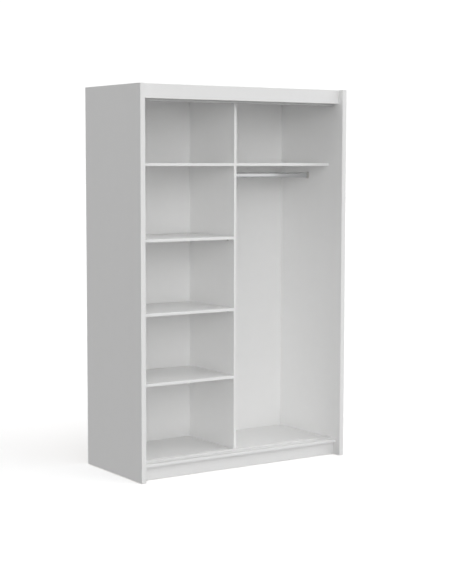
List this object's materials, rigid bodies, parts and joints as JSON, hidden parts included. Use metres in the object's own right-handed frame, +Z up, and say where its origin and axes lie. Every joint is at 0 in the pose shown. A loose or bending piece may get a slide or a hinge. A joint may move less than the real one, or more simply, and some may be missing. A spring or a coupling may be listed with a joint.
{
  "type": "wardrobe carcass",
  "caption": "Tall open wardrobe carcass for sliding doors: thick side panels, a shelf bay beside a hanging bay with a rail, a top fascia, a recessed plinth and door tracks.",
  "frame": {"origin": "on the floor, under the centre of the wardrobe's outline", "axes": "+Z up, open front faces -Y, +X to the right as seen from the front"},
  "size_m": [1.35, 0.6, 2.1],
  "materials": {
    "melamine": "white melamine-faced chipboard, fine pearl grain, satin",
    "edge_band": "white edge strip, satin",
    "back_sheet": "white lacquered hardboard, satin in front, brown fibre behind",
    "track": "white powder-coated aluminium, satin",
    "rail_chrome": "bright chrome, drawn lengthwise",
    "zinc_casting": "die-cast zinc, satin nickel",
    "steel": "bright zinc-plated steel",
    "beech": "plain fluted beech",
    "white_plastic": "moulded white plastic"
  },
  "bodies": {
    "carcass": {"back_nails": "steel", "back_panel_left": "back_sheet", "back_panel_right": "back_sheet", "bottom_panel": "melamine", "bottom_track": "track", "bottom_track_screws": "steel", "cam_bolts": "steel", "cam_bolts_double": "steel", "cam_caps": "white_plastic", "cam_locks": "zinc_casting", "centre_support": "melamine", "divider": "melamine", "divider_screws": "steel", "dowels": "beech", "edge_band_bottom": "edge_band", "edge_band_divider": "edge_band", "edge_band_fascia": "edge_band", "edge_band_fixed_shelf_left": "edge_band", "edge_band_fixed_shelf_right": "edge_band", "edge_band_side_left": "edge_band", "edge_band_side_right": "edge_band", "fascia": "melamine", "fascia_bracket_screws": "steel", "fascia_brackets": "steel", "fixed_shelf_left": "melamine", "fixed_shelf_right": "melamine", "floor_glides": "white_plastic", "hanging_rail": "rail_chrome", "long_dowels": "beech", "plinth_front": "melamine", "plinth_rear": "melamine", "rail_socket_left": "zinc_casting", "rail_socket_right": "zinc_casting", "rail_socket_screws": "steel", "shelf_supports": "steel", "side_panel_left": "melamine", "side_panel_right": "melamine", "top_panel": "melamine", "top_track": "track", "top_track_screws": "steel", "wall_bracket_left": "steel", "wall_bracket_right": "steel", "wall_bracket_screws": "steel"},
    "upper_shelf": {"shelf_upper": "melamine", "edge_band_shelf_upper": "edge_band"},
    "middle_shelf": {"shelf_middle": "melamine", "edge_band_shelf_middle": "edge_band"},
    "lower_shelf": {"shelf_lower": "melamine", "edge_band_shelf_lower": "edge_band"}
  },
  "joints": [
    {"name": "upper_shelf_slide", "type": "slide", "parent": "carcass", "child": "upper_shelf", "axis": [0, -1, 0], "range_m": [0, 0.6]},
    {"name": "middle_shelf_slide", "type": "slide", "parent": "carcass", "child": "middle_shelf", "axis": [0, -1, 0], "range_m": [0, 0.6]},
    {"name": "lower_shelf_slide", "type": "slide", "parent": "carcass", "child": "lower_shelf", "axis": [0, -1, 0], "range_m": [0, 0.6]}
  ]
}
